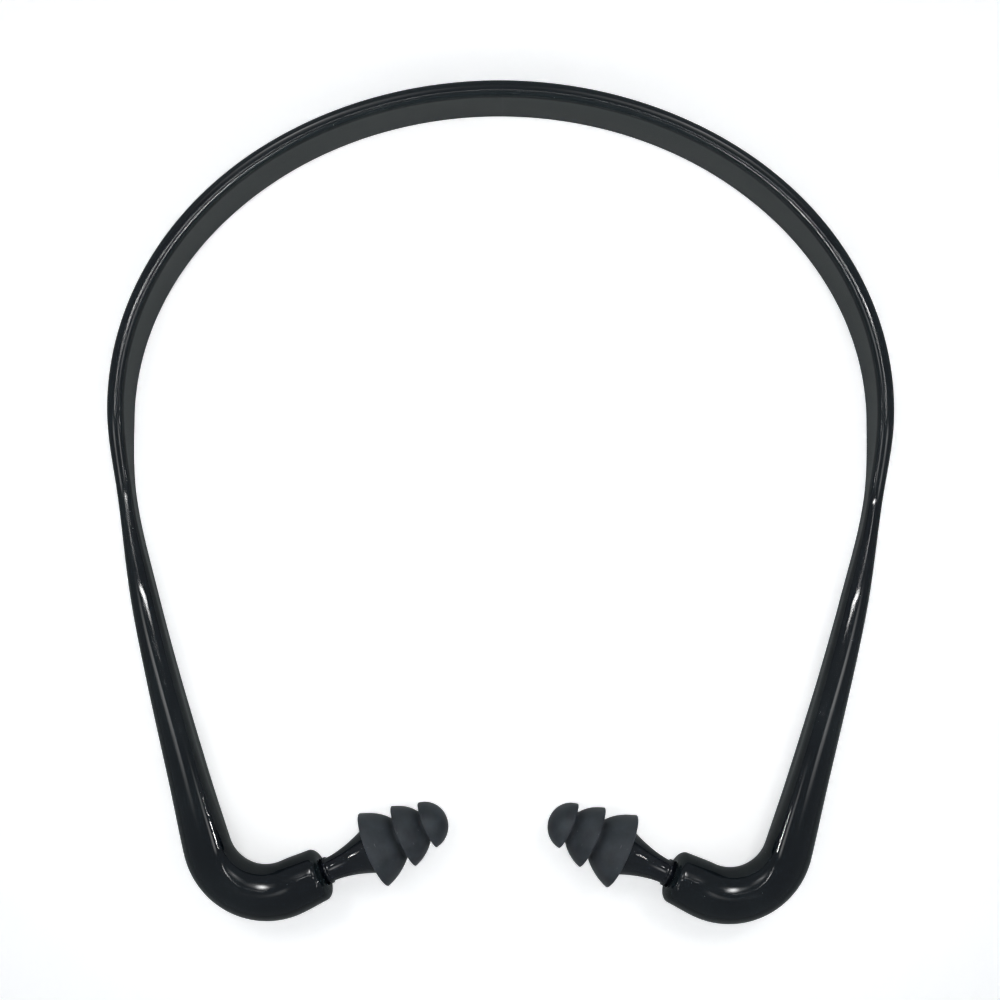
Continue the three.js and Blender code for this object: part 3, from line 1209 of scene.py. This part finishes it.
@dataclass(frozen=True)
class Flange:
    """One umbrella flange of an ear tip, in millimetres.

    Attributes:
        radius: At its rim.
        place: How far its rim is in front of the widest flange's rim.
        cap: Height of the arc from the rim to the axis.
        hollow: Depth under the flange.
        flare: Degrees that the arc already leans in at the rim.
    """

    radius: float
    place: float
    cap: float
    hollow: float
    flare: float

    def arc(self, share: float) -> Row:
        """The radius, and the height above the rim, a share of the way from the rim to the axis."""
        start = math.radians(self.flare)
        angle = lerp(start, math.pi / 2, share)
        rise = (math.sin(angle) - math.sin(start)) / (1 - math.sin(start))
        return self.radius * math.cos(angle) / math.cos(start), self.cap * rise

    def share_at(self, radius: float) -> float:
        """The share of the arc at which it has come in to that radius."""
        start = math.radians(self.flare)
        angle = math.acos(radius / self.radius * math.cos(start))
        return (angle - start) / (math.pi / 2 - start)

    def radius_at(self, height: float) -> float:
        """The arc's radius at that height above the rim."""
        start = math.sin(math.radians(self.flare))
        sine = start + height / self.cap * (1 - start)
        return self.radius * math.sqrt((1 - sine**2) / (1 - start**2))


@dataclass
class EarTip:
    """A soft ear tip: three umbrella flanges on a core, the front one a closed dome.

    Sizes are in millimetres, and heights are above the socket's mouth.

    Attributes:
        finish: The rubber's finish.
        reach: Height of the widest flange's rim.
        flanges: The flanges, the widest first.
        edge: Thickness of a skirt at its rim.
        root: Thickness of a skirt at the bottom of its hollow.
        bend: Rounding at the bottom of a hollow.
        hollow_curve: How far out towards the rim, and how high up the hollow, its curve passes.
        rim_inside: Rounding of a rim's inner edge, outwards and upwards.
        rim_outside: Where the rounding of its outer edge starts and ends, inwards, and how high.
        cores: Radius of the core in front of the first and the second flange.
        core_edge: Rounding where a core leaves a hollow.
        bore: Radius round the peg's barbs.
        seat: Height where the tip meets the stem's face.
        seat_edge: Rounding of the bore's mouth.
        bore_end: Height of the bore's end.
        bore_round: Rounding there.
        wobble: How far a rim is out of round, as a share of its radius.
        cap_steps: Steps over a flange.
        sides: How many corners each ring has.
    """

    finish: MattMouldedSilicone
    reach: float = 10.3
    flanges: tuple[Flange, ...] = (
        Flange(7.5, 0.3, 7.0, 1.9, 24.0),
        Flange(6.2, 6.7, 5.4, 1.5, 20.0),
        Flange(4.65, 11.8, 4.1, 1.1, 6.0),
    )
    edge: float = 0.35
    root: float = 0.9
    bend: float = 0.25
    hollow_curve: tuple[Row, ...] = ((0.3, 0.66), (0.7, 0.27))
    rim_inside: Row = (0.08, 0.04)
    rim_outside: tuple[float, float, float] = (0.08, 0.01, 0.05)
    cores: Row = (4.0, 3.2)
    core_edge: float = 0.15
    bore: float = 2.55
    seat: float = 12.1
    seat_edge: float = 0.1
    bore_end: float = 20.7
    bore_round: float = 0.3
    wobble: float = 0.004
    cap_steps: int = 22
    sides: int = 96

    def skirt(self, flange: Flange) -> list[Row]:
        """Lists the underside and the rounded rim of a flange, from its hollow outwards.

        Args:
            flange: The flange.

        Returns:
            Rows of radius and height.
        """
        place = self.reach + flange.place
        outside = flange.radius_at(flange.hollow)
        floor, rim = outside - self.root, flange.radius - self.edge
        inner_round, inner_rise = self.rim_inside
        outer_start, outer_end, outer_rise = self.rim_outside
        return [
            (floor - self.bend, place + flange.hollow),
            (floor, place + flange.hollow - self.bend * BEND_SHARE),
            *((lerp(floor, rim, out), place + flange.hollow * up) for out, up in self.hollow_curve),
            (rim, place + inner_rise),
            (rim + inner_round, place),
            (flange.radius - outer_start, place),
            (flange.radius - outer_end, place + outer_rise),
        ]

    def cap(self, flange: Flange, stop: float) -> list[Row]:
        """Lists the outer side of a flange.

        Args:
            flange: The flange.
            stop: The radius where it ends.

        Returns:
            Rows of radius and height, from just above the rim.
        """
        last = flange.share_at(stop)
        place = self.reach + flange.place
        rows = []
        for i in range(1, self.cap_steps + 1):
            radius, rise = flange.arc(last * i / self.cap_steps)
            rows.append((stop if i == self.cap_steps else radius, place + rise))
        return rows

    def profile(self) -> list[Row]:
        """Lists the tip's radius and height, from the bore's end out and over the flanges to the dome."""
        rows = [
            (0.0, self.bore_end),
            (self.bore - self.bore_round, self.bore_end),
            (self.bore, self.bore_end - self.bore_round),
            (self.bore, self.seat + self.seat_edge),
            (self.bore + self.seat_edge, self.seat),
        ]
        stops = (*self.cores, 0.0)
        for i, (flange, stop) in enumerate(zip(self.flanges, stops)):
            if i:
                core = self.cores[i - 1]
                floor = self.reach + flange.place + flange.hollow
                rows += [(core, floor - self.core_edge), (core + self.core_edge, floor)]
            rows += self.skirt(flange) + self.cap(flange, stop)
        return rows

    def build(self) -> list[bpy.types.Object]:
        """Makes both tips and dresses them.

        Returns:
            The two tips.
        """
        material = self.finish.material()
        made = []
        for side in Side:
            mesh = Lathe(side, self.sides).turn(self.profile(), self.wobble)
            tip = mesh.piece(f"flanged_tip_{side.word}", material, side is Side.LEFT)
            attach(tip, f"tip_{side.word}")
            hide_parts(f"ear_tip_{side.word}")
            made.append(tip)
        return made


# ---------------------------------------------------------------------------------------------
# Studio
# ---------------------------------------------------------------------------------------------


@dataclass(frozen=True)
class Lamp:
    """A rectangular lamp, given as it hangs on the right-hand side. Metres and degrees.

    Attributes:
        name: The lamp's name, without its side.
        size: Its width and length.
        radiance: How bright its face is.
        place: Where it hangs.
        aim: What it faces.
        along: The direction of its length.
        beads: How many separate diodes show along it, or 0 for a cloth that is brightest in its middle.
        spread: The angle of the cone that its grid lets through.
        lit: The share of its length that the diodes take up.
    """

    name: str
    size: Row
    radiance: float
    place: tuple[float, float, float]
    aim: tuple[float, float, float] = (0.0, 0.0, 0.0)
    along: tuple[float, float, float] = (0.0, 1.0, 0.0)
    beads: int = 0
    spread: float = 180.0
    lit: float = 0.5

    def hang(self, side: Side) -> None:
        """Hangs the lamp on one side.

        Args:
            side: Which side.
        """
        data = bpy.data.lights.new(f"{self.name}_{side.word}", "AREA")
        data.shape = "RECTANGLE"
        data.size, data.size_y = self.size
        data.spread = math.radians(self.spread)
        data.energy = self.radiance * math.pi * self.size[0] * self.size[1]
        data.energy *= math.sin(data.spread / 2) ** 2
        self.shape_glow(data)
        lamp = bpy.data.objects.new(data.name, data)
        mirror = Vector((side.value, 1, 1))
        place = Vector(self.place) * mirror
        back = (place - Vector(self.aim) * mirror).normalized()
        length = Vector(self.along) * mirror
        length = (length - back * length.dot(back)).normalized()
        turned = Matrix((length.cross(back), length, back)).transposed().to_4x4()
        lamp.matrix_world = Matrix.Translation(place) @ turned
        lamp.visible_camera = False
        bpy.context.scene.collection.objects.link(lamp)

    def shape_glow(self, data: bpy.types.Light) -> None:
        """Cuts the lamp's glow into diodes, or lets it fade from the middle of its cloth to the edge.

        Args:
            data: The lamp's data.
        """
        data.use_nodes = True
        tree = data.node_tree
        spot = add_node(tree, "ShaderNodeNewGeometry").outputs["Parametric"]
        if self.beads:
            level = add_node(tree, "ShaderNodeSeparateXYZ", inputs={0: spot}).outputs["Y"]
            steps = (
                ("MULTIPLY", float(self.beads)),
                ("FRACT", 0.0),
                ("LESS_THAN", self.lit),
                ("DIVIDE", self.lit),
            )
            for operation, amount in steps:
                sum_up = add_node(tree, "ShaderNodeMath", {"operation": operation}, {0: level, 1: amount})
                level = sum_up.outputs[0]
        else:
            middle = (0.5, 0.5, 0.0)
            gone = add_node(tree, "ShaderNodeVectorMath", {"operation": "DISTANCE"}, {0: spot, 1: middle})
            fade = add_node(
                tree,
                "ShaderNodeMapRange",
                {"interpolation_type": "SMOOTHSTEP"},
                {
                    "Value": gone.outputs["Value"],
                    "From Min": 0.0,
                    "From Max": 0.5,
                    "To Min": 1.0,
                    "To Max": 0.0,
                },
            )
            level = fade.outputs["Result"]
        tree.links.new(level, tree.nodes["Emission"].inputs["Strength"])


# What the right-hand side's narrow lamps face, in metres. The first three are across on the left.
CROWN_SIDE = (-0.055, 0.065, 0.015)
WAIST = (-0.07, 0.012, 0.008)
KNEE = (-0.06, -0.065, 0.008)
ELBOW = (0.045, -0.074, 0.008)
STEM_MIDDLE = (0.028, -0.066, 0.008)
# The direction that most of the arm runs in on the right, and the waist's rows of diodes.
ARM_WAY = (0.26, 0.965, 0.0)
ROW_WAY = (0.992, 0.129, 0.0)


@dataclass
class Studio:
    """The floor, the light and the camera, looking straight down on the band. Metres and degrees.

    Attributes:
        paper: The floor's finish.
        floor_size: Width of the floor.
        camera_height: Above the band's middle plane.
        view_width: How much of that plane the picture is wide.
        turns: The camera's small roll, pitch and yaw.
        aim: How far to the right and up of the middle of the picture the band's middle lies.
        sensor: Width of the camera's sensor in millimetres.
        near: How close the camera still sees.
        tint: The colour of the surroundings.
        dim: How bright the surroundings are to the pieces.
        pale: How bright they are to the camera.
        lamps: The lamps of the right-hand side, which the left-hand side mirrors.
    """

    paper: StudioPaper
    floor_size: float = 3.0
    camera_height: float = 0.240
    view_width: float = 0.194753
    turns: tuple[float, float, float] = (0.381, 1.072, 0.016)
    aim: Row = (0.000007, -0.001612)
    sensor: float = 36.0
    near: float = 0.01
    tint: str = "#E9F2FA"
    dim: float = 0.265
    pale: float = 0.9
    lamps: tuple[Lamp, ...] = (
        Lamp("key", (0.11, 0.26), 8.0, (0.132, 0.148, 0.30), aim=ELBOW, spread=24.0),
        Lamp("wing", (0.18, 0.15), 3.0, (0.19, -0.08, 0.30), along=ARM_WAY),
        Lamp("back", (0.36, 0.26), 1.5, (0.14, 0.25, 0.40)),
        Lamp(
            "rim",
            (0.014, 0.16),
            60.0,
            (0.137, -0.165, 0.3),
            aim=CROWN_SIDE,
            along=(0.77, 0.64, 0.0),
            spread=40.0,
        ),
        Lamp(
            "waist",
            (0.006, 0.24),
            13.0,
            (0.0, 0.008, 0.3),
            aim=WAIST,
            along=ROW_WAY,
            beads=27,
            spread=44.0,
        ),
        Lamp(
            "waist_twin",
            (0.006, 0.18),
            13.0,
            (0.05, 0.020, 0.3),
            aim=WAIST,
            along=ROW_WAY,
            beads=21,
            spread=44.0,
        ),
        Lamp(
            "knee",
            (0.010, 0.034),
            50.0,
            (0.35, -0.033, 0.2),
            aim=KNEE,
            along=(-0.26, 0.965, 0.0),
            beads=12,
            spread=24.0,
        ),
        Lamp("stem", (0.05, 0.05), 16.0, (0.33, 0.10, 0.31), aim=STEM_MIDDLE, spread=8.0),
    )

    def camera(self, height: float) -> None:
        """Places the camera.

        Args:
            height: Of the band's middle plane.
        """
        data = bpy.data.cameras.new("camera")
        data.sensor_width = self.sensor
        data.lens = self.sensor * self.camera_height / self.view_width
        data.clip_start = self.near
        camera = bpy.data.objects.new("camera", data)
        roll, pitch, yaw = (math.radians(turn) for turn in self.turns)
        turned = Matrix.Rotation(roll, 4, "Z") @ Matrix.Rotation(-pitch, 4, "X")
        turned = turned @ Matrix.Rotation(-yaw, 4, "Y")
        stand = turned @ Vector((-self.aim[0], -self.aim[1], self.camera_height))
        camera.matrix_world = Matrix.Translation(stand + Vector((0, 0, height))) @ turned
        bpy.context.scene.collection.objects.link(camera)
        bpy.context.scene.camera = camera

    def floor(self) -> None:
        """Lays the floor."""
        half = self.floor_size / 2
        mesh = bpy.data.meshes.new("floor")
        corners = [(-half, -half, 0), (half, -half, 0), (half, half, 0), (-half, half, 0)]
        mesh.from_pydata(corners, [], [(0, 1, 2, 3)])
        mesh.materials.append(self.paper.material())
        floor = bpy.data.objects.new("floor", mesh)
        bpy.context.scene.collection.objects.link(floor)

    def surroundings(self) -> None:
        """Sets the even surroundings, dim to the pieces and pale to the camera."""
        world = bpy.data.worlds.new("surroundings")
        world.use_nodes = True
        tree = world.node_tree
        tree.nodes.clear()
        path = add_node(tree, "ShaderNodeLightPath").outputs["Is Camera Ray"]
        level = add_node(
            tree, "ShaderNodeMapRange", inputs={"Value": path, "To Min": self.dim, "To Max": self.pale}
        )
        glow = add_node(
            tree,
            "ShaderNodeBackground",
            inputs={"Color": linear(self.tint), "Strength": level.outputs["Result"]},
        )
        add_node(tree, "ShaderNodeOutputWorld", inputs={"Surface": glow.outputs["Background"]})
        bpy.context.scene.world = world

    def build(self, height: float) -> None:
        """Sets up the whole studio.

        Args:
            height: Of the band's middle plane.
        """
        self.camera(height)
        self.floor()
        self.surroundings()
        for side in Side:
            for lamp in self.lamps:
                lamp.hang(side)
        bpy.context.scene.view_settings.view_transform = "Standard"


def main() -> None:
    """Builds the studio and every piece."""
    logging.basicConfig(level=logging.INFO, format="%(message)s")
    Studio(StudioPaper("studio_paper")).build(Side.RIGHT.swivel()[0].z)
    pieces = [
        *Headband(GlossMouldedPlastic("band_gloss_moulded_abs")).build(),
        *Stem(GlossMouldedPlastic("stem_gloss_moulded_abs", colour="#12151C")).build(),
        *EarTip(MattMouldedSilicone("tip_matt_moulded_silicone")).build(),
    ]
    for piece in pieces:
        LOG.info("%s: %d faces", piece.name, len(piece.data.polygons))


if __name__ == "__main__":
    main()
